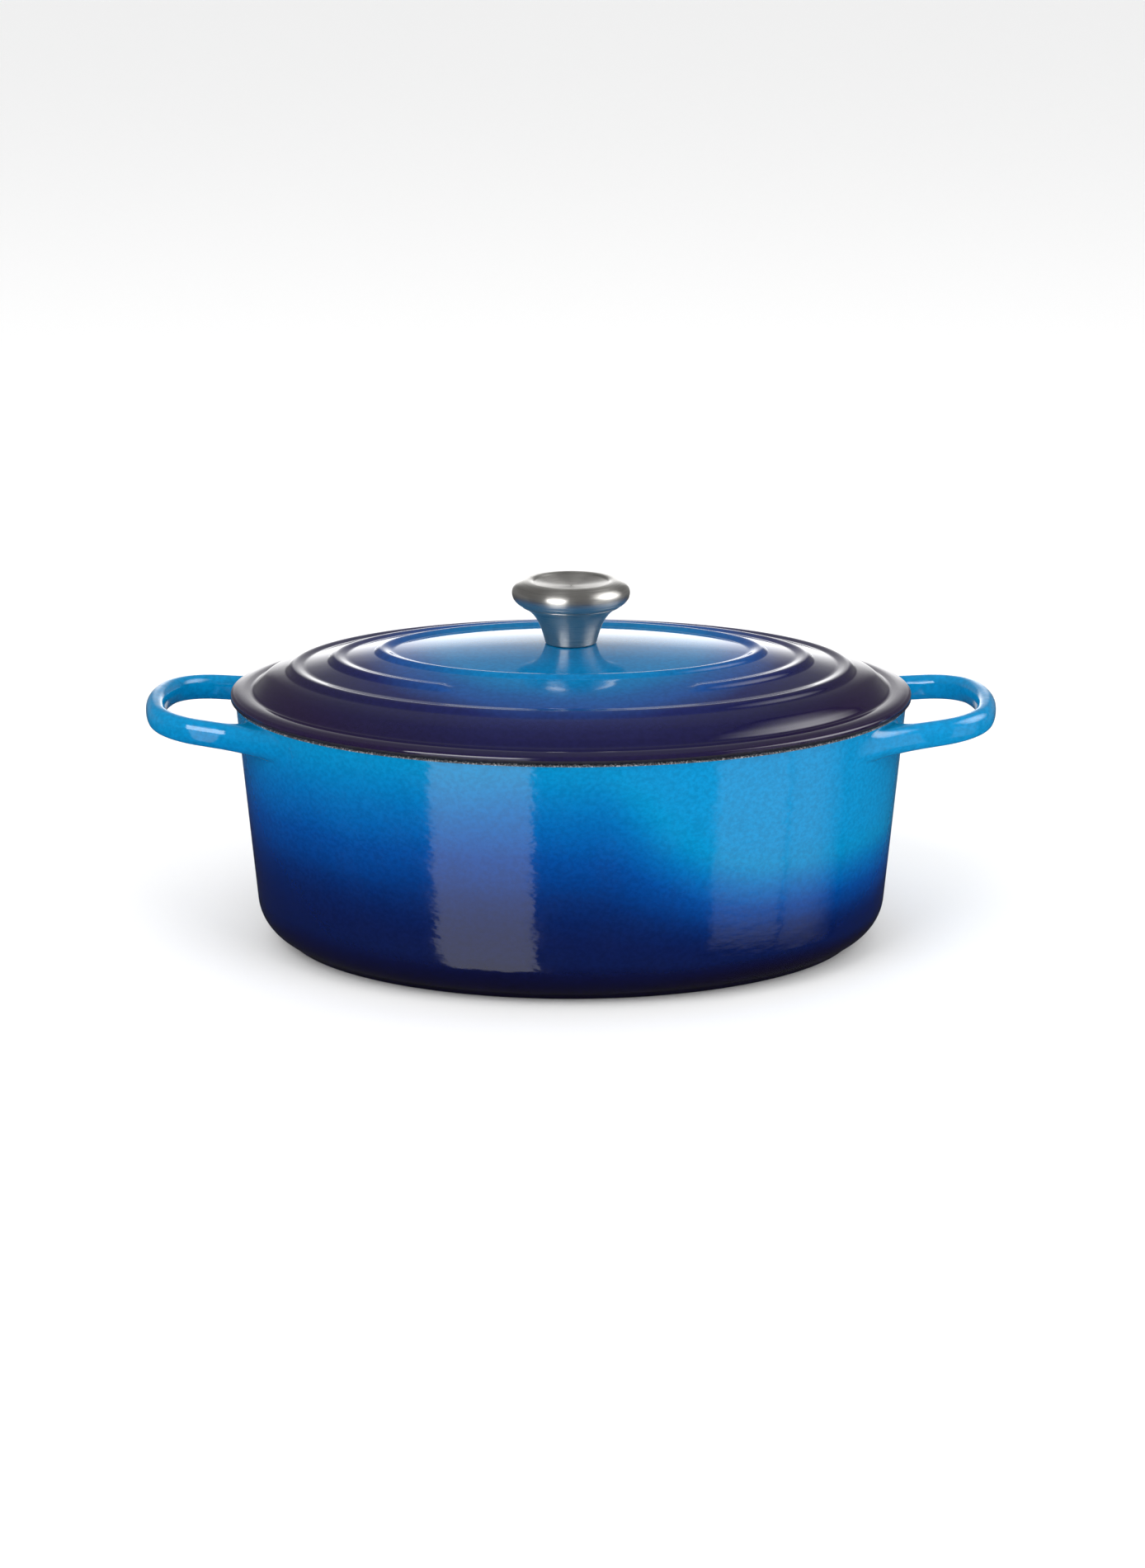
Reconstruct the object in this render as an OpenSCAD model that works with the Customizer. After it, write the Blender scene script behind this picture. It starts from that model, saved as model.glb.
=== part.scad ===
// Oval cast iron dutch oven: an enamelled pot with two loop handles cast in one
// piece with it, a ringed lid that rests on the rim, and a stainless steel knob
// clamped through the lid by a screw.
// Every oval is made of four arcs about the same four centres, so all of the
// ovals are parallel curves. An oval is named by its half length along X, and
// its half width along Y is oval_offset less.
// Origin: middle of the face that the pot stands on. X runs from handle to
// handle, Z is up.

/* [Oval] */
// Half length of every oval less its half width
oval_offset = 36; // [34:0.5:38]
// Distance of the end arcs' centres from the middle
end_centre = 54; // [52:0.5:55]

/* [Pot] */
// Height of the rim above the surface it stands on
rim_z = 120.5; // [110:0.5:122]
// Half length of the outside at the rim
rim_a = 162.7; // [161:0.1:163]
// Inward lean of the wall, degrees from upright
wall_draft = 4.8; // [3:0.1:6]
// Thickness of the wall
wall_t = 3.8; // [3.5:0.1:6]
// Thickness of the floor above the recess under it
floor_t = 4.2; // [4:0.1:8]
// Outer radius between wall and floor
corner_r = 22; // [18:0.5:24]
// Half length of the foot ring, outside
foot_a = 140; // [137:0.5:141]
// Width of the foot ring's flat face
foot_w = 8; // [5:0.5:12]
// Depth of the recess inside the foot ring
recess_h = 1.4; // [0.8:0.1:2]

/* [Handles] */
// Half of the length over both handles
handle_reach = 206.1; // [200:0.1:214]
// Half of the distance between the middles of a handle's two arms, at their turns
arm_y = 44.4; // [40:0.1:50]
// How far each arm spreads on its way to the wall, degrees
arm_splay = 11.3; // [0:0.1:15]
// Width of the bar, seen from above
bar_w = 9.4; // [9:0.1:14]
// Height of the bar
bar_h = 12.2; // [9:0.1:13]
// Edge radius of the bar
bar_edge_r = 4; // [2:0.1:4.4]
// Radius of the outer end's bow, at the bar's middle
bow_r = 92; // [80:1:200]
// Radius of the two turns, at the bar's middle
turn_r = 28.8; // [24:0.1:34]
// Height of the bar's middle where it leaves the wall
handle_z = 110.3; // [100:0.1:111]
// Upward tilt of the handles, degrees
handle_tilt = 6; // [0:0.1:8]

/* [Lid] */
// Half length of the lid at its rim
lid_a = 165; // [164:0.1:168]
// Thickness of the lid's casting
lid_t = 3.7; // [3.5:0.1:5]
// Height of a ring above the surface round it
ring_h = 1.6; // [0.8:0.1:2]
// Half of a ring's width
ring_half_w = 3.2; // [2:0.1:4]
// Gap all round between the locating lip and the pot's inside
lip_gap = 1.7; // [1:0.1:2.5]
// Depth of the locating lip below the rim
lip_h = 4; // [2:0.5:6]

/* [Knob] */
// Thickness of the knob's steel shells
knob_t = 1.2; // [0.8:0.1:1.5]
// Outer radius of the threaded insert
insert_r = 7.5; // [6:0.1:8]
// Radius of the screw's shank
screw_r = 3; // [2.5:0.1:3]
// Radius of the screw's head
screw_head_r = 5.6; // [5:0.1:6]

/* [Hidden] */
$fn = 96;

// The four centres of the ovals.
side_centre = oval_offset * (2 * end_centre - oval_offset) / (2 * (end_centre - oval_offset));
centre_gap = norm([end_centre, side_centre]);
end_half = atan2(side_centre, end_centre);
middle_a = end_centre + 2;
middle_overlap = 1;
crown_a = middle_a + 2 * middle_overlap;

// Wall line of the pot: half length of the outside at height z.
function wall_a(z) = rim_a - (rim_z - z) * tan(wall_draft);

// Corner between wall and floor.
corner_lift = 0.9;
corner_z = corner_lift + corner_r;
corner_a = wall_a(corner_z) - corner_r / cos(wall_draft);
corner_steps = 10;
floor_z = recess_h + floor_t;
inner_r = corner_r - 2;
inner_z = floor_z + inner_r;
inner_a = wall_a(inner_z) - wall_t - inner_r / cos(wall_draft);
rim_round = 1;
above_rim = 12;

// Height of the lid's surface between the rings, by half length.
ring_a = [91.5, 114, 134.5];
plateau_z = 146.8;
plateau_edge = [86, 142.9];
terraces = [[97, 142.2], [108.5, 140], [119.5, 138.2], [129, 136], [140, 133.6]];
shoulder = [[145, 132.3], [149.5, 129.6], [152.3, 126]];
flange = [[154.2, 125], [158, 125.5], [162.6, 125.4]];
ring_steps = 6;
lip_w = 4;
lip_a = rim_a - wall_t - lip_gap;
land_out = lid_a - 1.6;

// Knob and fastener heights.
under_z = plateau_z - lid_t;
seam_z = 166;
seam_r = 24.6;
dish_z = 174.9;
boss_z = 172;
boss_r = 10;
neck_floor_z = plateau_z + 1.8;
bore_clear = 0.4;
thread_clear = 0.04;
washer_h = 1.2;
spring_h = 1.5;
washer_r = 8;
spring_r = 5.4;
screw_head_h = 3.4;
screw_tip_z = plateau_z + 12;
insert_bore_z = screw_tip_z + 3;

// Points of an arc about c from angle a0 to a1.
function arc(c, r, a0, a1, n) = [for (i = [0 : n]) let (t = a0 + (a1 - a0) * i / n) c + r * [cos(t), sin(t)]];

// Points of a ring's rounded back over the line from p to q, from p to q.
function ring_back(p, q) = [for (i = [0 : ring_steps])
    let (t = 180 * i / ring_steps, m = (p + q) / 2, d = (q - p) / 2)
    m - d * cos(t) + [0, ring_h * sin(t)]];

// Height on the straight line through p and q at half length a.
function line_z(p, q, a) = p[1] + (q[1] - p[1]) * (a - p[0]) / (q[0] - p[0]);

// Smooth curve through the points p, n steps from each to the next.
function spline(p, n) = [for (i = [0 : len(p) - 2]) for (j = [0 : n - 1])
    let (t = j / n, a = p[max(i - 1, 0)], b = p[i], c = p[i + 1], d = p[min(i + 2, len(p) - 1)])
    0.5 * (2 * b + (c - a) * t + (2 * a - 5 * b + 4 * c - d) * t * t
           + (3 * b - a - 3 * c + d) * t * t * t), p[len(p) - 1]];

// Sweeps a section, drawn with half length as its x, round the oval.
module oval_sweep() {
    for (turn = [0, 180]) rotate([0, 0, turn]) {
        translate([end_centre, 0, 0])
            rotate_extrude(angle = 2 * end_half, start = -end_half)
                translate([-end_centre, 0]) children();
        translate([0, -side_centre, 0])
            rotate_extrude(angle = 180 - 2 * end_half, start = end_half)
                translate([centre_gap - end_centre, 0]) children();
    }
}

// The whole oval of half length a, from height z0 to z1.
module oval_slab(a, z0, z1) {
    for (turn = [0, 180]) rotate([0, 0, turn]) {
        translate([end_centre, 0, 0])
            rotate_extrude(angle = 2 * end_half, start = -end_half)
                translate([0, z0]) square([a - end_centre, z1 - z0]);
        intersection() {
            translate([0, -side_centre, 0])
                rotate_extrude(angle = 180 - 2 * end_half, start = end_half)
                    translate([0, z0]) square([a + centre_gap - end_centre, z1 - z0]);
            translate([-2 * a, 0, z0 - 1]) cube([4 * a, 2 * a, z1 - z0 + 2]);
        }
    }
}

// The pot's outside as a solid block.
module pot_block() {
    foot_turn = -acos((foot_a - corner_a) / corner_r);
    oval_sweep() polygon(concat(
        [[middle_a, recess_h], [foot_a - foot_w - recess_h, recess_h],
         [foot_a - foot_w, 0], [foot_a, 0]],
        arc([corner_a, corner_z], corner_r, foot_turn, -wall_draft, corner_steps),
        arc([wall_a(rim_z) - rim_round, rim_z - rim_round], rim_round, 0, 90, 3),
        [[middle_a, rim_z]]));
    oval_slab(middle_a + middle_overlap, recess_h, rim_z);
}

// The space inside the pot, open at the top.
module pot_cavity() {
    top_z = rim_z + above_rim;
    oval_sweep() polygon(concat(
        [[middle_a, floor_z]],
        arc([inner_a, inner_z], inner_r, -90, -wall_draft, corner_steps),
        [[wall_a(rim_z) - wall_t, rim_z], [wall_a(rim_z) - wall_t, top_z], [middle_a, top_z]]));
    oval_slab(middle_a + middle_overlap, floor_z, top_z);
}

// Section of the handle's bar, with its middle at the origin, less inset all round.
module bar_section(inset = 0) {
    x = bar_w / 2 - bar_edge_r;
    y = bar_h / 2 - bar_edge_r;
    r = bar_edge_r - inset;
    polygon(concat(arc([x, y], r, 0, 90, 4), arc([-x, y], r, 90, 180, 4),
                   arc([-x, -y], r, 180, 270, 4), arc([x, -y], r, 270, 360, 4)));
}

// One handle: a bowed end, two turns and two straight arms into the wall. The
// turns run a little way into the pieces on both sides of them, and the arms a
// little way through the wall, where the cavity cuts them off.
module handle() {
    turn_inset = 0.05;
    turn_extra = 2;
    reach = handle_reach - bar_w / 2 + 0.1;
    bow_x = reach - bow_r;
    turn_y = arm_y - turn_r * cos(arm_splay);
    bow_half = asin(turn_y / (bow_r - turn_r));
    turn_x = bow_x + (bow_r - turn_r) * cos(bow_half);
    arm_x = turn_x + turn_r * sin(arm_splay);
    root_x = 146;
    arm_end_x = 141;
    translate([root_x, 0, handle_z]) rotate([0, -handle_tilt, 0]) translate([-root_x, 0, 0]) {
        translate([bow_x, 0, 0])
            rotate_extrude(angle = 2 * bow_half, start = -bow_half)
                translate([bow_r, 0]) bar_section();
        for (s = [0, 1]) mirror([0, s, 0]) {
            translate([turn_x, turn_y, 0])
                rotate_extrude(angle = 90 - arm_splay - bow_half + 2 * turn_extra,
                               start = bow_half - turn_extra)
                    translate([turn_r, 0]) bar_section(turn_inset);
            translate([arm_x, arm_y, 0]) rotate([0, 0, 180 - arm_splay]) rotate([90, 0, 90])
                linear_extrude((arm_x - arm_end_x) / cos(arm_splay)) bar_section();
        }
    }
}

module pot() {
    color([0.02, 0.36, 0.68]) difference() {
        union() {
            pot_block();
            handle();
            mirror([1, 0, 0]) handle();
        }
        pot_cavity();
    }
}

// Section of the lid from the locating lip to the edge of the middle plateau.
module lid_section() {
    ring_edges = [for (i = [0 : 2]) let (
        before = [plateau_edge, terraces[1], terraces[3]][i],
        after = [terraces[0], terraces[2], terraces[4]][i],
        a0 = ring_a[i] - ring_half_w, a1 = ring_a[i] + ring_half_w)
        ring_back([a0, line_z(before, after, a0)], [a1, line_z(before, after, a1)])];
    crown = [for (i = [0 : 6]) let (t = i / 6)
        [crown_a + (plateau_edge[0] - crown_a) * t,
         plateau_z - (plateau_z - plateau_edge[1]) * t * t]];
    underside = [for (p = [[147, 131], terraces[3], terraces[1], plateau_edge, [70, 145.9]])
        p - [0, lid_t]];
    polygon(concat([[middle_a, plateau_z]], crown, ring_edges[0], [terraces[0], terraces[1]], ring_edges[1],
        [terraces[2], terraces[3]], ring_edges[2], [terraces[4]], shoulder, flange,
        [[lid_a - 0.7, rim_z + 4.4], [lid_a, rim_z + 3.4], [lid_a, rim_z + 1.5],
         [lid_a - 0.6, rim_z + 0.6], [land_out, rim_z],
         [lip_a, rim_z], [lip_a - 0.6, rim_z - lip_h], [lip_a - lip_w, rim_z - lip_h],
         [lip_a - lip_w - 0.6, rim_z + 1.5]],
        underside, [[crown_a, under_z], [middle_a, under_z]]));
}

module lid() {
    color([0.08, 0.09, 0.32]) difference() {
        union() {
            oval_sweep() lid_section();
            oval_slab(middle_a + middle_overlap, under_z, plateau_z);
        }
        translate([0, 0, under_z - 1]) cylinder(h = lid_t + 2, r = screw_r + bore_clear);
    }
}

// Outside of the knob's neck, from its foot on the lid up to the seam.
neck_curve = spline([[12.4, plateau_z], [13.9, 152.3], [15.7, 157], [17.9, 160.4],
                     [22.4, 164.6], [seam_r, seam_z]], 3);
// Outside of the knob's head, from the seam over the crest to the dish.
cap_curve = spline([[seam_r, seam_z], [26.1, 166.9], [28.4, 170.8], [27.9, 174],
                    [24.9, 176.8], [20.1, 177.6], [14, 176.2], [7, 175.1], [0, dish_z]], 2);

module knob_neck() {
    color([0.62, 0.62, 0.61]) difference() {
        rotate_extrude() polygon(concat(neck_curve, [[seam_r - knob_t, seam_z], [0, seam_z], [0, plateau_z]]));
        rotate_extrude() polygon(concat(
            [[0, neck_floor_z]],
            [for (p = neck_curve) [p[0] - knob_t, max(p[1], neck_floor_z)]],
            [[seam_r - knob_t, seam_z + 1], [0, seam_z + 1]]));
        translate([0, 0, plateau_z - 1]) cylinder(h = 4, r = screw_r + bore_clear);
    }
}

module knob_cap() {
    color([0.66, 0.66, 0.65]) rotate_extrude() polygon(concat(cap_curve,
        [[0, boss_z], [boss_r, boss_z], [boss_r + 0.5, 174.2], [15.5, 175.2], [20.1, 176.3],
         [24.5, 175.4], [26.7, 173.2], [27.1, 170.9], [25.2, 168], [seam_r - knob_t, seam_z]]));
}

// Threaded bush welded under the cap, standing on the floor of the neck.
module knob_insert() {
    color([0.55, 0.55, 0.56]) difference() {
        translate([0, 0, neck_floor_z]) cylinder(h = boss_z - neck_floor_z, r = insert_r);
        translate([0, 0, neck_floor_z - 1])
            cylinder(h = insert_bore_z - neck_floor_z + 1, r = screw_r + thread_clear);
    }
}

module ring_washer(z, h, r) {
    translate([0, 0, z]) difference() {
        cylinder(h = h, r = r);
        translate([0, 0, -1]) cylinder(h = h + 2, r = screw_r + bore_clear);
    }
}

module flat_washer() {
    color([0.7, 0.7, 0.7]) ring_washer(under_z - washer_h, washer_h, washer_r);
}

// Split ring, compressed flat by the screw's head.
module spring_washer() {
    color([0.6, 0.6, 0.6]) difference() {
        ring_washer(under_z - washer_h - spring_h, spring_h, spring_r);
        translate([0, -0.6, under_z - washer_h - spring_h - 1]) cube([washer_r, 1.2, spring_h + 2]);
    }
}

// Pan head screw with a cross recess, driven up through the lid.
module knob_screw() {
    head_top = under_z - washer_h - spring_h;
    color([0.72, 0.72, 0.72]) difference() {
        union() {
            translate([0, 0, head_top]) cylinder(h = screw_tip_z - head_top, r = screw_r);
            rotate_extrude() polygon(concat([[0, head_top], [screw_head_r, head_top]],
                arc([screw_head_r - 1.6, head_top - screw_head_h + 1.6], 1.6, 0, -90, 4),
                [[0, head_top - screw_head_h]]));
        }
        for (turn = [0, 90]) rotate([0, 0, turn])
            translate([-2.6, -0.5, head_top - screw_head_h - 1]) cube([5.2, 1, 3]);
    }
}

pot();
lid();
knob_cap();
knob_neck();
knob_insert();
knob_screw();
flat_washer();
spring_washer();
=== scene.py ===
"""Oval enamelled cast iron dutch oven: finished meshes and materials around the CAD frame."""
import math

import bpy
import numpy as np
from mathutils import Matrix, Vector


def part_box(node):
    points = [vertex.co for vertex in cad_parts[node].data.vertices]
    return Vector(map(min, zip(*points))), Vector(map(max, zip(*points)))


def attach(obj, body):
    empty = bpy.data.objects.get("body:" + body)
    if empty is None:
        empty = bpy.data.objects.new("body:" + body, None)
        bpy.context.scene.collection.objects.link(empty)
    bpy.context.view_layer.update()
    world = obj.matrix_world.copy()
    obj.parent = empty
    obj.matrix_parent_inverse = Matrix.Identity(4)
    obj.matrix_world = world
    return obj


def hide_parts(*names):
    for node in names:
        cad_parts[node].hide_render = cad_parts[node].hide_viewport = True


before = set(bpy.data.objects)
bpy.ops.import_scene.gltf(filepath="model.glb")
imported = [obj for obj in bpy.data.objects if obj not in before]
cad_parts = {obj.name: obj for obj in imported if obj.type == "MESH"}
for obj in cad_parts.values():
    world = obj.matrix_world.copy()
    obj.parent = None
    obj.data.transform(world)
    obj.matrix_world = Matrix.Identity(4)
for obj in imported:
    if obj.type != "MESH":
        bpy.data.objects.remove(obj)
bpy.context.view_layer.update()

MM = 0.001

# ---------------------------------------------------------------- sizes, in millimetres
lid_lo, lid_hi = [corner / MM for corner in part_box("lid")]
cap_lo, cap_hi = [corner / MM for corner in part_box("knob_cap")]
pot_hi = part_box("pot")[1] / MM
neck_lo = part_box("knob_neck")[0] / MM

lip_h = 4.0                        # the locating lip under the lid's rim
rim_z = lid_lo[2] + lip_h          # where the lid rests on the pot
reach = pot_hi[0]                  # half length over the handles
lid_a = lid_hi[0]                  # half length of the lid
oval_k = lid_hi[0] - lid_hi[1]     # how much narrower than long an oval is, by half
seat_z = neck_lo[2]                # where the knob stands on the lid
crest_z = cap_hi[2]                # top of the knob
seam_z = cap_lo[2]                 # seam between the knob's head and neck

COLUMNS = 320
theta = np.linspace(0, 2 * math.pi, COLUMNS, endpoint=False)


def hermite(x, xs, ys):
    """Smooth curve through the knots, each with the slope of its neighbours."""
    xs, ys = np.asarray(xs, float), np.asarray(ys, float)
    if xs[0] > xs[-1]:
        xs, ys = xs[::-1], ys[::-1]
    slope = np.gradient(ys, xs, axis=0)
    i = np.clip(np.searchsorted(xs, x) - 1, 0, len(xs) - 2)
    w = xs[i + 1] - xs[i]
    t = (x - xs[i]) / w
    a, b, c, d = 2 * t**3 - 3 * t**2 + 1, t**3 - 2 * t**2 + t, -2 * t**3 + 3 * t**2, t**3 - t**2
    return a * ys[i] + b * w * slope[i] + c * ys[i + 1] + d * w * slope[i + 1]


def through(points, step=0.6):
    """Points every step along a smooth curve through the given points."""
    points = np.asarray(points, float)
    along = np.concatenate([[0], np.cumsum(np.linalg.norm(np.diff(points, axis=0), axis=1))])
    count = max(2, int(round(along[-1] / step)))
    s = np.linspace(0, along[-1], count + 1)
    return np.stack([hermite(s, along, points[:, i]) for i in range(points.shape[1])], axis=1)


def arc(centre, r, start, end, count):
    """Points on an arc in the section plane, angles in degrees."""
    t = np.radians(np.linspace(start, end, count + 1))
    return [(centre[0] + r * math.cos(v), centre[1] + r * math.sin(v)) for v in t]


def oval(a, k, angles):
    """Oval of half length a and half width a - k, as x and y by the angle of its normal."""
    fullness = 1.0
    h = a - k * np.sin(angles) ** 2 + fullness * (1 - np.cos(4 * angles)) / 2
    slope = -k * np.sin(2 * angles) + 2 * fullness * np.sin(4 * angles)
    x = h * np.cos(angles) - slope * np.sin(angles)
    y = h * np.sin(angles) + slope * np.cos(angles)
    return x, y


def oval_row(a, z, k=oval_k, scale=1.0):
    """One row of points round an oval at height z."""
    x, y = oval(a, k, theta)
    return np.stack([x * scale, y * scale, np.broadcast_to(z, x.shape)], axis=1)


def skin(name, rows, materials, faces_of=None, capped=True):
    """Mesh through closed rows of points. Caps close its ends with a point in the middle."""
    rows = np.asarray(rows, float) * MM
    n, m = rows.shape[:2]
    points = [tuple(p) for p in rows.reshape(-1, 3)]
    faces, slots = [], []
    for i in range(n - 1):
        for j in range(m):
            a, b = i * m + j, i * m + (j + 1) % m
            faces.append((a, b, b + m, a + m))
            slots.append(faces_of[i] if faces_of else 0)
    for row, flip in ((0, True), (n - 1, False)) if capped else ():
        points.append(tuple(rows[row].mean(axis=0)))
        for j in range(m):
            a, b = row * m + j, row * m + (j + 1) % m
            faces.append((b, a, len(points) - 1) if flip else (a, b, len(points) - 1))
            slots.append((faces_of[0] if flip else faces_of[-1]) if faces_of else 0)
    mesh = bpy.data.meshes.new(name)
    mesh.from_pydata(points, [], faces)
    mesh.polygons.foreach_set("use_smooth", [True] * len(faces))
    mesh.polygons.foreach_set("material_index", slots)
    for material in materials:
        mesh.materials.append(material)
    mesh.update()
    piece = bpy.data.objects.new(name, mesh)
    bpy.context.collection.objects.link(piece)
    return piece


def join(name, parts):
    """One object from several that share their material slots."""
    bpy.ops.object.select_all(action="DESELECT")
    for part in parts:
        part.select_set(True)
    bpy.context.view_layer.objects.active = parts[0]
    bpy.ops.object.join()
    parts[0].name = name
    return parts[0]


# ---------------------------------------------------------------- materials
def srgb(r, g, b):
    """Linear colour from 0 to 255 display values."""
    def line(v):
        v = v / 255
        return v / 12.92 if v <= 0.04045 else ((v + 0.055) / 1.055) ** 2.4
    return (line(r), line(g), line(b), 1)


def new_material(name, **values):
    """Material with the given Principled inputs, and its nodes, links and shader."""
    material = bpy.data.materials.new(name)
    material.use_nodes = True
    shader = material.node_tree.nodes["Principled BSDF"]
    for key, value in values.items():
        shader.inputs[key.replace("_", " ")].default_value = value
    return material, material.node_tree.nodes, material.node_tree.links, shader


def coordinates(nodes, links, scale):
    """Object coordinates, scaled: the scale is how many units of the pattern fit in a metre."""
    place = nodes.new("ShaderNodeTexCoord")
    mapping = nodes.new("ShaderNodeMapping")
    mapping.inputs["Scale"].default_value = scale
    links.new(place.outputs["Object"], mapping.inputs["Vector"])
    return mapping.outputs["Vector"]


def noise(nodes, links, scale, detail=2.0, roughness=0.5):
    """Noise from 0 to 1, with scale features in a metre along each axis."""
    texture = nodes.new("ShaderNodeTexNoise")
    texture.inputs["Scale"].default_value = 1
    texture.inputs["Detail"].default_value = detail
    texture.inputs["Roughness"].default_value = roughness
    links.new(coordinates(nodes, links, scale), texture.inputs["Vector"])
    return texture.outputs["Fac"]


def math_node(nodes, links, kind, *values, clamp=False):
    """One sum on numbers or sockets."""
    node = nodes.new("ShaderNodeMath")
    node.operation = kind
    node.use_clamp = clamp
    for socket, value in zip(node.inputs, values):
        if isinstance(value, (int, float)):
            socket.default_value = value
        else:
            links.new(value, socket)
    return node.outputs[0]


def smooth_step(nodes, links, value, low, high, at_low, at_high):
    """From at_low to at_high as the value goes from low to high, with soft ends."""
    node = nodes.new("ShaderNodeMapRange")
    node.interpolation_type = "SMOOTHSTEP"
    node.inputs["From Min"].default_value = low
    node.inputs["From Max"].default_value = high
    node.inputs["To Min"].default_value = at_low
    node.inputs["To Max"].default_value = at_high
    links.new(value, node.inputs["Value"])
    return node.outputs["Result"]


def axes(nodes, links, kind="Object"):
    """The three coordinates as sockets."""
    place = nodes.new("ShaderNodeTexCoord")
    split = nodes.new("ShaderNodeSeparateXYZ")
    links.new(place.outputs[kind], split.inputs[0])
    return split.outputs


def grey(v):
    """Colour or value that is the same in every channel."""
    return (v, v, v, 1)


def ramp(nodes, links, factor, stops):
    """Colour by the factor, through stops of (place, colour)."""
    node = nodes.new("ShaderNodeValToRGB")
    node.color_ramp.interpolation = "EASE" if len(stops) == 2 else "LINEAR"
    while len(node.color_ramp.elements) < len(stops):
        node.color_ramp.elements.new(0.5)
    for element, (place, colour) in zip(node.color_ramp.elements, stops):
        element.position = place
        element.color = colour
    links.new(factor, node.inputs["Fac"])
    return node.outputs["Color"]


def bump(nodes, links, shader, layers):
    """Stacks bumps, each (height socket, depth in metres at full height)."""
    normal = None
    for height, depth in layers:
        node = nodes.new("ShaderNodeBump")
        node.inputs["Strength"].default_value = 1
        node.inputs["Distance"].default_value = depth
        links.new(height, node.inputs["Height"])
        if normal:
            links.new(normal, node.inputs["Normal"])
        normal = node.outputs["Normal"]
    links.new(normal, shader.inputs["Normal"])


def vary_roughness(nodes, links, shader, value, low, high):
    """Roughness from one (place, roughness) to another along a value."""
    stops = [(place, grey(rough)) for place, rough in (low, high)]
    links.new(ramp(nodes, links, value, stops), shader.inputs["Roughness"])


def enamel(name, measure, stops, wave, grain, roughness=0.07):
    """Glossy vitreous enamel with a colour gradient by measure(nodes, links).

    wave and grain are lists of bumps, each (features in a metre along the axes, depth in metres).
    """
    material, nodes, links, shader = new_material(name, Roughness=roughness, IOR=1.5)
    soft = noise(nodes, links, (22, 22, 22), 2)
    drift = math_node(nodes, links, "MULTIPLY_ADD", soft, 0.05, -0.025)
    level = math_node(nodes, links, "ADD", measure(nodes, links), drift)
    speck = noise(nodes, links, (420, 420, 520), 3, 0.6)
    mottle = nodes.new("ShaderNodeMix")
    mottle.data_type = "RGBA"
    mottle.blend_type = "MULTIPLY"
    mottle.inputs["Factor"].default_value = 1
    links.new(ramp(nodes, links, level, stops), mottle.inputs["A"])
    links.new(ramp(nodes, links, speck, [(0.3, grey(0.86)), (0.7, grey(1.08))]), mottle.inputs["B"])
    links.new(mottle.outputs["Result"], shader.inputs["Base Color"])
    smear = noise(nodes, links, (60, 60, 60), 3)
    vary_roughness(nodes, links, shader, smear, (0.35, roughness), (0.75, roughness + 0.05))
    layers = [(noise(nodes, links, scale, 2), depth) for scale, depth in wave]
    layers += [(noise(nodes, links, scale, 3), depth) for scale, depth in grain]
    bump(nodes, links, shader, layers)
    return material


# the colours' places along the pot's height leave room above the rim for the +X side
HEADROOM = 1.4


def pot_gradient_measure(nodes, links):
    """Height on the pot, 1 / HEADROOM at the rim. Above 16 mm it climbs up to 2.1 times as fast on
    the +X side, so the lighter colours sit lower there.
    """
    still = 16 * MM     # the colour keeps its place at this height all round
    place = axes(nodes, links)
    side = smooth_step(nodes, links, place["X"], 0.01, 0.095, 1.0, 2.1)
    over = math_node(nodes, links, "SUBTRACT", place["Z"], still)
    steep = math_node(nodes, links, "MULTIPLY", over, side)
    height = math_node(nodes, links, "ADD", steep, still)
    return math_node(nodes, links, "DIVIDE", height, rim_z * HEADROOM * MM)


def round_measure(radius):
    """From 0 in the middle to 1 at a radius in millimetres."""
    def build(nodes, links):
        scale = (1 / (radius * MM), 1 / (radius * MM), 0)
        node = nodes.new("ShaderNodeVectorMath")
        node.operation = "LENGTH"
        links.new(coordinates(nodes, links, scale), node.inputs[0])
        return node.outputs["Value"]
    return build


pot_stops = [(z / rim_z / HEADROOM, srgb(*rgb)) for z, rgb in (
    (4, (13, 9, 36)), (10, (11, 11, 42)), (16, (10, 14, 50)), (24, (9, 22, 66)),
    (34, (8, 23, 70)), (44, (5, 28, 80)), (54, (3, 38, 97)), (64, (1, 53, 120)),
    (74, (0, 64, 135)), (84, (0, 81, 150)), (94, (0, 95, 160)), (104, (0, 109, 168)),
    (112, (1, 119, 173)), (120, (2, 126, 178)), (140, (8, 128, 182)), (168, (10, 130, 184)))]
lid_stops = [(r / lid_a, srgb(*rgb)) for r, rgb in (
    (0, (3, 106, 158)), (62, (3, 107, 160)), (70, (8, 95, 150)), (78, (20, 78, 137)),
    (88, (23, 66, 128)), (94, (24, 54, 110)), (102, (23, 30, 80)), (112, (23, 24, 66)),
    (125, (24, 21, 56)), (140, (28, 18, 48)), (165, (30, 20, 50)))]

pot_blue = enamel("pot_enamel_blue", pot_gradient_measure, pot_stops,
                  wave=[((110, 110, 260), 0.00012)], grain=[((350, 350, 500), 0.000004)])
lid_blue = enamel("lid_enamel_blue", round_measure(lid_a), lid_stops,
                  wave=[((90, 90, 90), 0.00002)], grain=[((600, 600, 600), 0.000004)],
                  roughness=0.06)


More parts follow.
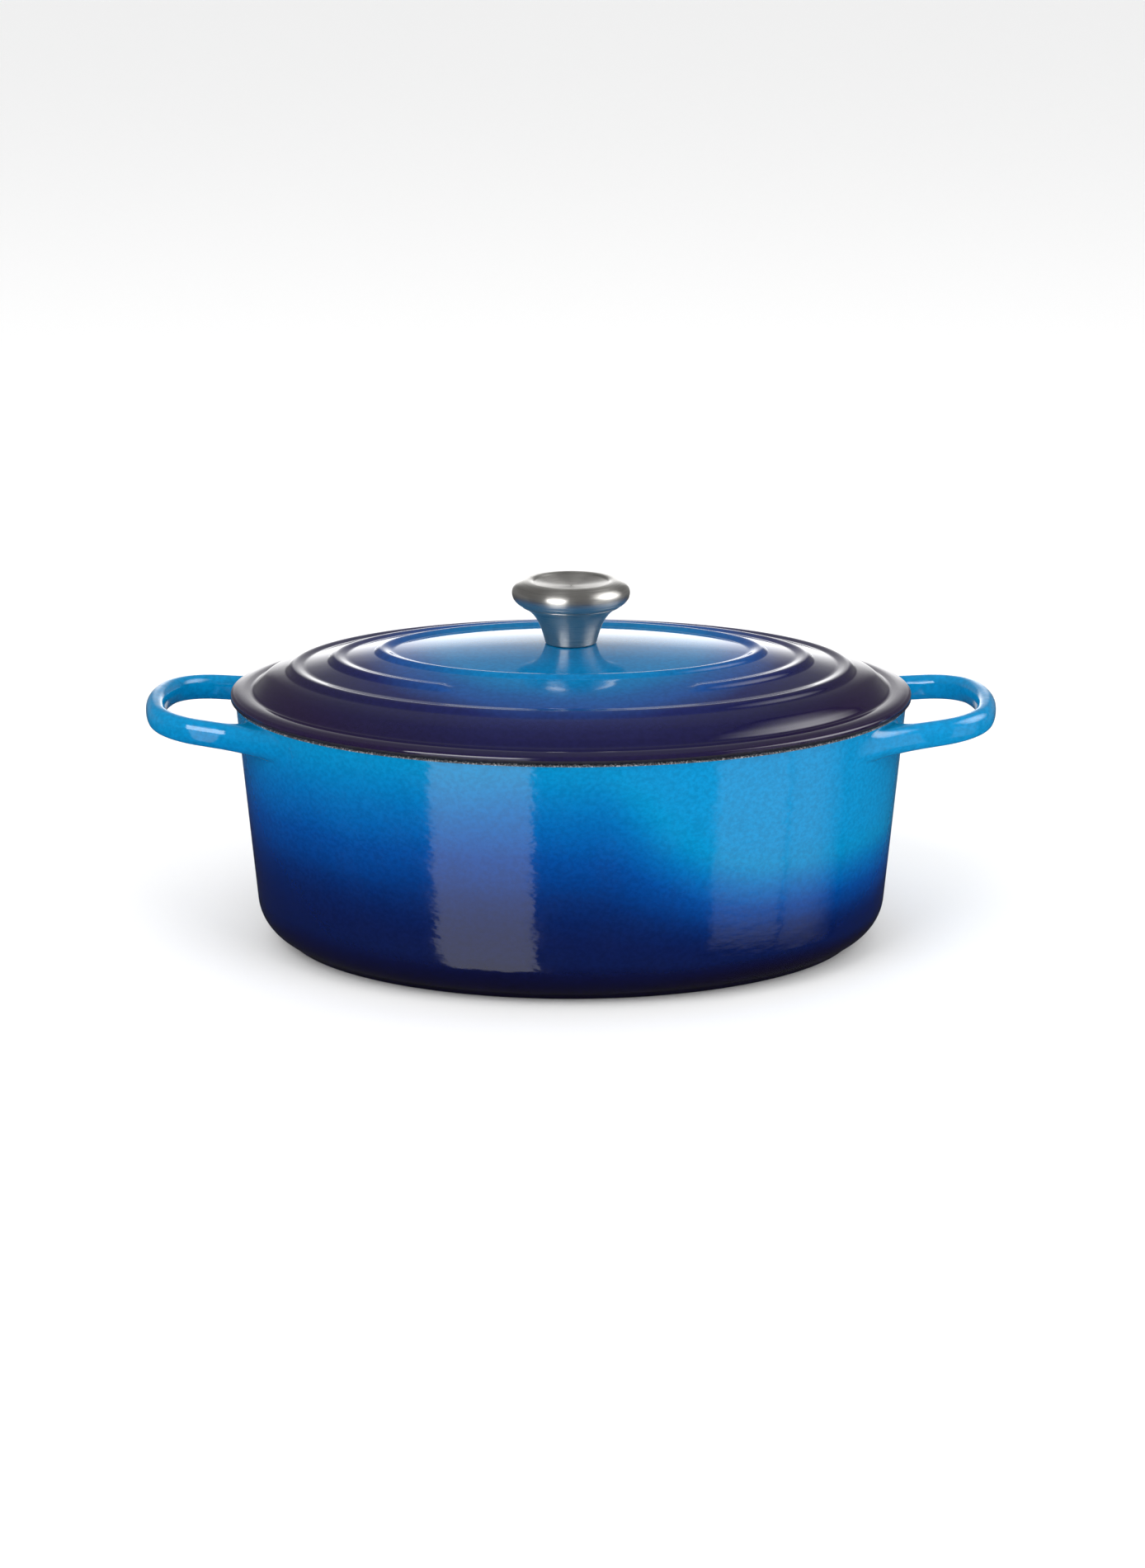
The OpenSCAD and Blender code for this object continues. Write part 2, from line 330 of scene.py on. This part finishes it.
def plain_enamel(name, colour, roughness, depth):
    """Glossy enamel of one colour, finely specked, with waves of a depth in metres."""
    material, nodes, links, shader = new_material(name, IOR=1.5)
    speck = noise(nodes, links, (900, 900, 900), 3, 0.6)
    light = tuple(min(1, c * 1.06) for c in colour[:3]) + (1,)
    dark = tuple(c * 0.86 for c in colour[:3]) + (1,)
    links.new(ramp(nodes, links, speck, [(0.35, dark), (0.65, light)]), shader.inputs["Base Color"])
    smear = noise(nodes, links, (80, 80, 80), 3)
    vary_roughness(nodes, links, shader, smear, (0.3, roughness), (0.7, roughness + 0.08))
    bump(nodes, links, shader, [(noise(nodes, links, (150, 150, 150), 2), depth),
                                (speck, depth * 0.2)])
    return material


sand = plain_enamel("sand_enamel", srgb(226, 218, 200), 0.12, 0.00008)


def matt_rim(name, dark, light):
    """Matt ground enamel of a bare rim: dark grey with a fine pale grit."""
    material, nodes, links, shader = new_material(name, IOR=1.45)
    grit = noise(nodes, links, (1100, 1100, 1100), 4, 0.7)
    links.new(ramp(nodes, links, grit, [(0.47, dark), (0.68, light)]), shader.inputs["Base Color"])
    vary_roughness(nodes, links, shader, grit, (0.3, 0.5), (0.7, 0.75))
    bump(nodes, links, shader, [(grit, 0.0003)])
    return material


rim_matt = matt_rim("rim_matt_enamel", srgb(58, 60, 66), srgb(196, 198, 200))
edge_black = matt_rim("edge_matt_enamel", srgb(16, 14, 28), srgb(34, 33, 52))


def steel(name, tint, roughness, brush):
    """Turned stainless steel: brush fine lines in a metre, round the Z axis."""
    material, nodes, links, shader = new_material(
        name, Metallic=0.95, Anisotropic=0.8, Anisotropic_Rotation=0.25)
    place = axes(nodes, links)
    across = math_node(nodes, links, "MULTIPLY", place["X"], place["X"])
    square = math_node(nodes, links, "MULTIPLY_ADD", place["Y"], place["Y"], across)
    radius = math_node(nodes, links, "SQRT", square)
    turn = math_node(nodes, links, "ARCTAN2", place["Y"], place["X"])
    ring = nodes.new("ShaderNodeCombineXYZ")
    links.new(math_node(nodes, links, "MULTIPLY", radius, brush), ring.inputs["X"])
    links.new(math_node(nodes, links, "MULTIPLY", place["Z"], brush), ring.inputs["Y"])
    links.new(math_node(nodes, links, "MULTIPLY", turn, 1.5), ring.inputs["Z"])
    texture = nodes.new("ShaderNodeTexNoise")
    texture.inputs["Scale"].default_value = 1
    texture.inputs["Detail"].default_value = 3
    links.new(ring.outputs[0], texture.inputs["Vector"])
    lines = texture.outputs["Fac"]
    low, high = [tuple(c * f for c in tint[:3]) + (1,) for f in (0.9, 1.06)]
    links.new(ramp(nodes, links, lines, [(0.3, low), (0.7, high)]), shader.inputs["Base Color"])
    vary_roughness(nodes, links, shader, lines, (0.25, roughness - 0.04), (0.75, roughness + 0.07))
    tangent = nodes.new("ShaderNodeTangent")
    tangent.direction_type = "RADIAL"
    tangent.axis = "Z"
    links.new(tangent.outputs[0], shader.inputs["Tangent"])
    bump(nodes, links, shader, [(lines, 0.000006)])
    return material


knob_steel = steel("brushed_knob_steel", srgb(186, 184, 180), 0.3, 9000)
screw_steel = steel("bright_screw_steel", srgb(196, 196, 194), 0.25, 6000)
insert_steel = steel("turned_insert_steel", srgb(165, 165, 164), 0.35, 5000)

# ---------------------------------------------------------------- pot
lean = 4.8                              # degrees that the wall leans outwards
wall_lean = math.tan(math.radians(lean))
rim_a = lid_a - 2.3
wall_t = 3.8
floor_t = 4.2
recess = 1.4                            # the floor's underside over the table
corner_r = 22
corner_z = 22.9
foot_a = 140
foot_k, foot_top = 3.0, 30              # how much narrower the foot is across, and up to where


def wall_a(z):
    """Half length of the pot's outside at height z."""
    return rim_a - (rim_z - z) * wall_lean


def pot_k(z):
    """How much narrower than long the pot is at height z, by half."""
    return oval_k + foot_k * max(0.0, 1 - z / foot_top) ** 1.5


def pot_shell():
    """The pot without its handles: under the floor, up the outside, over the rim and inside."""
    corner_a = wall_a(corner_z) - corner_r / math.cos(math.radians(lean))
    foot_turn = -math.degrees(math.acos((foot_a - corner_a) / corner_r))
    floor_z = recess + floor_t
    inner_r = corner_r - 2
    inner_z = floor_z + inner_r
    inner_a = wall_a(inner_z) - wall_t - inner_r / math.cos(math.radians(lean))
    below_rim = rim_z - 2.4
    under = [(s, 130.0, recess) for s in (0.15, 0.35, 0.55, 0.75, 0.9, 0.97)]
    outside = [(130.6, recess), (131.6, 0.35), (132.4, 0.05), (133.2, 0), (136, 0), (138.4, 0),
               (139.4, 0.12), (139.9, 0.5), (140.15, 1.2), (140.7, 1.9)]
    outside += arc((corner_a, corner_z), corner_r, foot_turn + 3, -lean, 26)
    outside += [(wall_a(z), z) for z in np.linspace(corner_z + 2, below_rim, 34)]
    rim = arc((wall_a(rim_z) - 1.3, rim_z - 1.3), 1.3, 5, 85, 6)
    rim += arc((wall_a(rim_z) - wall_t + 1.0, rim_z - 1.0), 1.0, 95, 175, 5)
    inside = [(wall_a(z) - wall_t, z) for z in np.linspace(below_rim, inner_z + 2, 20)]
    inside += arc((inner_a, inner_z), inner_r, -lean, -90, 18)
    rows = [oval_row(a, z, pot_k(0), s) for s, a, z in under]
    rows += [oval_row(a, z, pot_k(z)) for a, z in outside + rim + inside]
    rows += [oval_row(inner_a, floor_z, pot_k(floor_z), s)
             for s in (0.95, 0.85, 0.7, 0.5, 0.3, 0.12)]
    matt_from = len(under) + len(outside)
    matt_to = matt_from + len(rim) - 1
    slots = [0 if i < matt_from else 1 if i < matt_to else 2 for i in range(len(rows))]
    return skin("pot_casting", rows, [pot_blue, rim_matt, sand], slots)


# ---------------------------------------------------------------- handles
handle_z = 113.9                        # middle height of the bar at slope_from
handle_slope = math.tan(math.radians(6))
slope_from = 180.0
bar_w, bar_h = 9.4, 12.2
bar_power = 2.4                         # 2 is an ellipse, more is squarer
arm_y = 44.4                            # half the span between the arms where they start
splay = math.radians(11.3)
turn_r = 28.8
bow_r = 92.0
root_from = 169.0                       # where the arms start to flare into the wall
flare_out, flare_in = 21.0, 11.0
flare_up, flare_down = 3.0, 1.5
SIDES = 48


def handle_mid(x):
    """Middle height of the bar at x."""
    return handle_z + handle_slope * (x - slope_from)


def wall_point(y, z):
    """Point on the outside of the wall at width y and height z, on the +X side."""
    xs, ys = oval(wall_a(z), oval_k, np.linspace(0, math.pi / 2, 400))
    return np.array([np.interp(abs(y), ys, xs), y, z])


def bar_section():
    """Rounded oblong section: each point's place across and up, from -1 to 1."""
    phi = np.linspace(0, 2 * math.pi, SIDES, endpoint=False) + 0.01
    across = np.sign(np.cos(phi)) * np.abs(np.cos(phi)) ** (2 / bar_power)
    up = np.sign(np.sin(phi)) * np.abs(np.sin(phi)) ** (2 / bar_power)
    return across, up


def half_size(x):
    """Half width and half height of the bar, 0.5 mm stouter for each 40 mm in from x = 190."""
    extra = 0.5 * max(0.0, (190 - x) / 40)
    return (bar_w + extra) / 2, (bar_h + extra) / 2


def loop_line():
    """Middle line of the loop's free part, from its -Y arm round to its +Y arm."""
    bow_x = reach - bar_w / 2 - bow_r
    turn_y = arm_y - turn_r * math.cos(splay)
    turn_x = bow_x + math.sqrt((bow_r - turn_r) ** 2 - turn_y**2)
    end = math.degrees(math.atan2(turn_y, turn_x - bow_x))
    half = arc((bow_x, 0), bow_r, 0, end, 10)
    half += arc((turn_x, turn_y), turn_r, end, 90 - math.degrees(splay), 26)[1:]
    arm_x, y = half[-1]
    half += [(x, y + (arm_x - x) * math.tan(splay)) for x in np.linspace(arm_x, root_from, 6)[1:]]
    half = np.array(half)
    return np.concatenate([half[::-1] * (1, -1), half[1:]])


def reach_wall(start, along):
    """Where a line from a point on the arm meets the wall."""
    point = start
    for _ in range(8):
        point = point + along * (point[0] - wall_point(point[1], point[2])[0]) / -along[0]
    return point


def root_rows(side, across, up):
    """Rows from an arm into the wall, each of the section's points along its own fillet."""
    lead_share = 0.5        # how far the fillet keeps to the arm, of the way to the wall
    wall_share = 0.6        # how far out it comes down on the wall, of the way to its foot
    sink = 0.997            # takes the last row a little into the wall
    end = loop_line()[-1]
    half_w, half_h = half_size(root_from)
    along = np.array([-math.cos(splay), side * math.sin(splay), -handle_slope * math.cos(splay)])
    outward = np.array([math.sin(splay), side * math.cos(splay), 0])
    middle = np.array([end[0], side * end[1], handle_mid(end[0])])
    hub = reach_wall(middle, along)
    columns = []
    for u, v in zip(across, up):
        start = middle + outward * u * half_w + np.array([0, 0, v * half_h])
        hit = reach_wall(start, along)
        foot_y = hub[1] + side * u * (half_w + (flare_out if u > 0 else flare_in))
        foot_z = min(hub[2] + v * (half_h + (flare_up if v > 0 else flare_down)), rim_z - 1.4)
        foot = wall_point(foot_y, foot_z)
        on_wall = wall_point(foot_y + (hit[1] - foot_y) * wall_share,
                             foot_z + (hit[2] - foot_z) * wall_share)
        lead = start + (hit - start) * lead_share
        t = np.linspace(0, 1, 21)[:, None]
        line = ((1 - t) ** 3 * start + 3 * (1 - t) ** 2 * t * lead
                + 3 * (1 - t) * t**2 * on_wall + t**3 * foot)
        columns.append(np.vstack([line, foot * (sink, sink, 1)]))
    return np.array(columns).transpose(1, 0, 2)


def handle(sign):
    """A loop handle: flared roots on the wall, spreading arms and a bowed end."""
    across, up = bar_section()
    line = loop_line()
    direction = np.gradient(line, axis=0)
    direction /= np.linalg.norm(direction, axis=1, keepdims=True)
    rows = []
    for (px, py), (dx, dy) in zip(line, direction):
        half_w, half_h = half_size(px)
        rows.append(np.stack([px + dy * across * half_w, py - dx * across * half_w,
                              handle_mid(px) + up * half_h], axis=1))
    first = root_rows(-1, across, up)[:0:-1]
    last = root_rows(1, across, up)[1:]
    rows = np.concatenate([first, np.array(rows), last])
    rows[:, :, 0] *= sign
    if sign > 0:
        rows = rows[:, ::-1]
    return skin("handle", rows, [pot_blue, rim_matt, sand])


pot = join("pot_casting", [pot_shell(), handle(1), handle(-1)])
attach(pot, "pot_body")
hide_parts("pot")

# ---------------------------------------------------------------- lid
lid_t = 3.7
ring_places = (91.5, 114.0, 134.4)      # half lengths of the three raised rings
bead_at = (-6.0, -5.0, -3.4, -1.7, -0.6, 0.3, 1.3, 2.4, 3.2, 3.8)
bead_height = (0, 0.12, 0.66, 1.3, 1.58, 1.64, 1.4, 0.8, 0.25, 0)
gap_half = 57.5                         # half the gap at the front of the middle ring
gap_ramp = 4.0                          # over which that ring comes up to its height

crown_a = 87.0                          # half length of the oval that the dome scales down
edge_z, under_z = 143.1, 139.6          # heights at crown_a, on top and below
lip_a = rim_a - wall_t - 1.7            # half length of the locating lip
lid_rim = [(163.2, rim_z + 0.35), (164.2, rim_z + 0.55), (164.8, rim_z + 1.0), (lid_a, rim_z + 1.7),
           (lid_a, rim_z + 2.8), (164.8, rim_z + 3.4), (164.2, rim_z + 3.9), (162.9, rim_z + 4.3),
           (161.0, rim_z + 4.75), (158.5, rim_z + 5.0), (156.6, rim_z + 4.95), (155.0, rim_z + 4.9),
           (153.8, rim_z + 5.25), (152.7, rim_z + 6.3), (151.3, rim_z + 7.7), (149.5, 129.7),
           (147.4, 131.2), (144.6, 132.5), (141.6, 133.5), (138.5, 134.3), (134.5, 135.2),
           (129, 136.4), (122, 137.9), (114, 139.5), (107, 140.8), (100, 141.9), (94, 142.7),
           (90, 143.0), (crown_a, edge_z)]
lid_below = [(162.6, rim_z + 0.1), (161.9, rim_z), (160, rim_z), (lip_a + 0.6, rim_z),
             (lip_a, rim_z - 0.6), (lip_a - 0.4, rim_z - 3.2), (lip_a - 1.1, rim_z - lip_h),
             (lip_a - 3.2, rim_z - lip_h), (lip_a - 4, rim_z - 3.2), (lip_a - 4.8, rim_z + 0.5),
             (151, 123.4), (148, 126.2), (143, 128.9), (134, 131.5), (114, 135.8), (100, 138.2),
             (crown_a, under_z)]
# the lid's ovals are narrower across at the middle and outer rings
k_places = (86, 91.5, 103, 114, 124, 134.4, 145, 153, 165)
k_values = (36.0, 36.3, 39.0, 40.2, 40.2, 39.4, 37.6, 36.4, oval_k)


def lid_k(a):
    """How much narrower than long the lid is at half length a, by half."""
    return max(oval_k, float(hermite(np.array(a), k_places, k_values)))


def bead(a, place):
    """Height of a ring's rounded back over the surface, at half length a."""
    d = a - place
    inside = bead_at[0] < d < bead_at[-1]
    return max(0.0, float(hermite(np.array(d), bead_at, bead_height))) if inside else 0.0


def lid_row(a, z):
    """Row on the lid's top with the rings raised. The middle ring is open at the front."""
    row = oval_row(a, z, k=lid_k(a))
    for i, place in enumerate(ring_places):
        lift = bead(a, place)
        if i == 1 and lift:
            away = np.clip((np.abs(row[:, 0]) - gap_half) / gap_ramp, 0, 1)
            away = np.sqrt(1 - (1 - away) ** 2)
            lift = lift * np.where(row[:, 1] < 0, away, 1)
        row[:, 2] += lift
    return row


def crown_row(s, z):
    """Row of the dome, at a share s of the crown's oval."""
    return oval_row(crown_a, z, k=lid_k(crown_a), scale=s)


def lid_casting():
    """The lid, from the middle of its top over the rim to the middle of its underside."""
    top = through(lid_rim, 0.5)
    top[:, 0] = np.minimum(top[:, 0], lid_a)
    over = [lid_row(a, z) for a, z in top]
    ring_foot = 83          # finer rows down to here, for the inner side of the first ring
    dome = seat_z - edge_z
    for a in np.concatenate([np.linspace(crown_a, ring_foot, 9)[1:],
                             np.linspace(ring_foot, 0, 20)[1:-1]]):
        s = a / crown_a
        over.append(crown_row(s, edge_z + dome * (1 - s * s) + bead(a, ring_places[0])))
    lower = through(lid_below, 1.5)
    lower[:, 1] = np.maximum(lower[:, 1], rim_z - lip_h)
    widest = 160            # beyond it the underside keeps its offset
    under = [oval_row(a, z, k=lid_k(min(a, widest))) for a, z in lower]
    hollow = seat_z - lid_t - under_z
    for s in np.linspace(1, 0, 10)[1:-1]:
        under.append(crown_row(s, under_z + hollow * (1 - s * s)))
    rows = over[::-1] + under
    face_a, face_z = 163, rim_z + 2.3       # the rim's matt face is outside and below these
    matt_from = len(over) - sum(1 for a, z in top if z < face_z and a > face_a)
    matt_to = len(over) + sum(1 for a, z in lower if a > lip_a)
    slots = [0 if i < matt_from else 1 if i < matt_to else 2 for i in range(len(rows))]
    return skin("lid_casting", [row[::-1] for row in rows], [lid_blue, edge_black, sand], slots)


lid = lid_casting()
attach(lid, "lid_body")
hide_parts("lid")

# ---------------------------------------------------------------- knob, as (radius, height)
seam_r = 24.6                           # radius of the knob at its seam
knob_t = 1.2                            # of the steel
screw_r = 3.4                           # hole for the screw
dish_z, dish_under_z = 174.9, 172       # middle of the dish, on top and below
neck_out = through([(11.9, seat_z + 0.02), (12.35, seat_z + 0.35), (12.6, seat_z + 1.2),
                    (13.9, 152.4), (15.6, 156.8), (17.8, 160.4), (20.2, 163.0), (22.3, 164.55),
                    (seam_r - 0.5, seam_z - 0.45), (seam_r - 0.35, seam_z - 0.15),
                    (seam_r - 0.7, seam_z)], 0.4).tolist()
neck_in = through([(seam_r - knob_t, seam_z - 0.3), (20.8, 164.3), (16.6, 160.4), (14.4, 156.8),
                   (12.7, 152.4), (11.5, seat_z + 2.2), (10.5, seat_z + 1.8)], 1.2).tolist()
neck_profile = neck_out + [(seam_r - knob_t, seam_z)] + neck_in
neck_profile += [(screw_r, seat_z + 1.8), (screw_r, seat_z)]
cap_out = through([(seam_r - 0.7, seam_z), (seam_r + 0.15, seam_z + 0.12), (25.4, 166.45),
                   (26.6, 167.4), (27.25, 168.1)], 0.3).tolist()
cap_out += through([(27.2, 168.3), (27.6, 168.65), (28.35, 170.4), (28.5, 171.6), (28.2, 173.4),
                    (26.6, 175.5), (24.0, 176.9), (21.6, 177.5), (20.0, crest_z), (18.6, 177.3),
                    (17.6, 176.75), (16.9, 176.6), (15.6, 176.35), (12, 175.7), (7, 175.1),
                    (3, dish_z), (0.4, dish_z)], 0.4).tolist()
cap_out = [(r, min(z, crest_z)) for r, z in cap_out]
cap_in = [(0.4, dish_under_z), (10, dish_under_z), (10.5, 174.0), (15.5, 175.0), (20.1, 176.1),
          (24.5, 175.2), (26.6, 173.2), (27.0, 171.0), (25.4, 168.2),
          (seam_r - knob_t, seam_z + 0.1)]


def tube_profile(name, profile, material):
    """Turned piece whose profile closes on itself."""
    t = np.linspace(0, 2 * math.pi, 192, endpoint=False)
    rows = [np.stack([r * np.cos(t), r * np.sin(t), np.full(t.shape, z)], axis=1)
            for r, z in profile + profile[:1]]
    piece = skin(name, rows, [material], capped=False)
    merge = piece.modifiers.new("weld", "WELD")
    merge.merge_threshold = 1e-6
    return piece


knob_neck = tube_profile("knob_neck_shell", neck_profile, knob_steel)
knob_cap = tube_profile("knob_cap_shell", cap_out + cap_in, knob_steel)
for piece, node in ((knob_neck, "knob_neck"), (knob_cap, "knob_cap")):
    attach(piece, "lid_body")
    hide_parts(node)

# ---------------------------------------------------------------- CAD nodes that stay
for node, material in (("knob_insert", insert_steel), ("knob_screw", screw_steel),
                       ("flat_washer", screw_steel), ("spring_washer", screw_steel)):
    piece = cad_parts[node]
    for slot in piece.material_slots:
        slot.material = material


# ---------------------------------------------------------------- floor, in metres from here on
def floor():
    """A wide pale floor, just under the pot's foot."""
    mesh = bpy.data.meshes.new("floor")
    half = 40
    mesh.from_pydata([(-half, -half, 0), (half, -half, 0), (half, half, 0), (-half, half, 0)],
                     [], [(0, 1, 2, 3)])
    material, _, _, shader = new_material("pale_floor", Roughness=0.9)
    shader.inputs["Base Color"].default_value = grey(0.97)
    mesh.materials.append(material)
    piece = bpy.data.objects.new("floor", mesh)
    bpy.context.collection.objects.link(piece)
    piece.location.z = -0.0002
    piece.visible_glossy = False


floor()

# ---------------------------------------------------------------- lights
TARGET = Vector((0, 0, 0.1))            # what the cards and lamps face


def face_target(thing, place):
    """Puts a card or a lamp in its place, turned towards the target."""
    thing.location = place
    thing.rotation_mode = "QUATERNION"
    thing.rotation_quaternion = (TARGET - Vector(place)).to_track_quat("-Z", "Y")


def card(name, place, width, height, strength, fade):
    """A softbox that only reflections see. fade is (side, up): how much of its half goes soft."""
    mesh = bpy.data.meshes.new(name)
    w, h = width / 2, height / 2
    mesh.from_pydata([(-w, -h, 0), (w, -h, 0), (w, h, 0), (-w, h, 0)], [], [(0, 1, 2, 3)])
    material = bpy.data.materials.new(name)
    material.use_nodes = True
    nodes, links = material.node_tree.nodes, material.node_tree.links
    nodes.clear()
    out = nodes.new("ShaderNodeOutputMaterial")
    glow = nodes.new("ShaderNodeEmission")
    links.new(glow.outputs[0], out.inputs["Surface"])
    spot = axes(nodes, links)
    fades = []
    for axis, half, soft in (("X", w, fade[0]), ("Y", h, fade[1])):
        off_middle = math_node(nodes, links, "ABSOLUTE", spot[axis])
        fades.append(smooth_step(nodes, links, off_middle, half * (1 - soft), half, 1, 0))
    level = math_node(nodes, links, "MULTIPLY", *fades)
    links.new(math_node(nodes, links, "MULTIPLY", level, strength), glow.inputs["Strength"])
    material.cycles.emission_sampling = "NONE"
    mesh.materials.append(material)
    piece = bpy.data.objects.new(name, mesh)
    bpy.context.collection.objects.link(piece)
    face_target(piece, place)
    for kind in ("camera", "diffuse", "transmission", "volume_scatter", "shadow"):
        setattr(piece, "visible_" + kind, False)


def toward(azimuth, elevation, distance=3.0, height=0.1):
    """Point at a distance, azimuth in degrees to the left of the front, elevation above level."""
    a, e = math.radians(azimuth), math.radians(elevation)
    return (-distance * math.sin(a) * math.cos(e), -distance * math.cos(a) * math.cos(e),
            height + distance * math.sin(e))


card("left_strip", toward(26, 0), 1.68, 7.0, 1.45, fade=(0.06, 0.05))
card("left_box", toward(30, 22, 2.9), 1.7, 1.7, 9.0, fade=(0.08, 0.15))
card("right_strip", toward(-55.5, -6), 1.45, 3.3, 0.65, fade=(0.18, 0.4))
card("right_glow", toward(-74, -6, 3.1), 2.9, 3.5, 0.55, fade=(0.9, 0.4))
card("right_box", toward(-90, 34), 3.9, 3.8, 6.0, fade=(0.9, 0.85))


def area(name, place, size, power):
    """A square lamp that isn't seen in reflections, of a power in watts."""
    data = bpy.data.lights.new(name, "AREA")
    data.shape = "RECTANGLE"
    data.size = data.size_y = size
    data.energy = power
    lamp = bpy.data.objects.new(name, data)
    bpy.context.collection.objects.link(lamp)
    face_target(lamp, place)
    lamp.visible_glossy = False
    lamp.visible_camera = False


area("key", (-1.6, -2.0, 2.4), 1.8, 40)
area("fill", (1.8, -1.8, 1.8), 1.8, 30)


def studio():
    """Even white light all round. Reflections see a dim room with a bright band at the back."""
    world = bpy.data.worlds.new("studio")
    bpy.context.scene.world = world
    world.use_nodes = True
    nodes, links = world.node_tree.nodes, world.node_tree.links
    nodes.clear()
    out = nodes.new("ShaderNodeOutputWorld")
    room = nodes.new("ShaderNodeBackground")
    even = nodes.new("ShaderNodeBackground")
    mix = nodes.new("ShaderNodeMixShader")
    path = nodes.new("ShaderNodeLightPath")
    even.inputs["Color"].default_value = grey(1)
    even.inputs["Strength"].default_value = 0.95
    spot = axes(nodes, links, "Generated")
    # the ramp runs over the height of the direction, from lowest to 1 + lowest
    lowest = -0.4
    height = math_node(nodes, links, "ADD", spot["Z"], -lowest, clamp=True)
    band = ramp(nodes, links, height, [(z - lowest, grey(v)) for z, v in (
        (-0.3, 0), (-0.18, 0.5), (-0.05, 0.95), (0.09, 1.1), (0.17, 0.75), (0.27, 0.32),
        (0.38, 0.1), (0.55, 0.02))])
    sideways = math_node(nodes, links, "ABSOLUTE", spot["X"])
    narrow = smooth_step(nodes, links, sideways, 0.12, 0.3, 1, 0.05)
    back = math_node(nodes, links, "GREATER_THAN", spot["Y"], 0)
    level = math_node(nodes, links, "MULTIPLY", band, narrow)
    level = math_node(nodes, links, "MULTIPLY", level, back)
    dim = smooth_step(nodes, links, spot["Z"], -0.35, 0.1, 0.035, 0.17)
    band_strength = 2.8
    level = math_node(nodes, links, "MULTIPLY_ADD", level, band_strength, dim)
    links.new(level, room.inputs["Strength"])
    links.new(path.outputs["Is Glossy Ray"], mix.inputs["Fac"])
    links.new(even.outputs[0], mix.inputs[1])
    links.new(room.outputs[0], mix.inputs[2])
    links.new(mix.outputs[0], out.inputs["Surface"])


studio()

# ---------------------------------------------------------------- camera
elevation = math.radians(15.9)          # looking down at the middle of the pot
aim_z = 0.0755
distance = 1.5
camera_data = bpy.data.cameras.new("camera")
camera_data.sensor_width = 36
camera_data.lens = 70.25
camera_data.shift_x = 0.001
camera = bpy.data.objects.new("camera", camera_data)
bpy.context.collection.objects.link(camera)
camera.location = (0, -distance * math.cos(elevation), aim_z + distance * math.sin(elevation))
camera.rotation_euler = (math.pi / 2 - elevation, 0, 0)
bpy.context.scene.camera = camera
bpy.context.scene.view_settings.view_transform = "Standard"
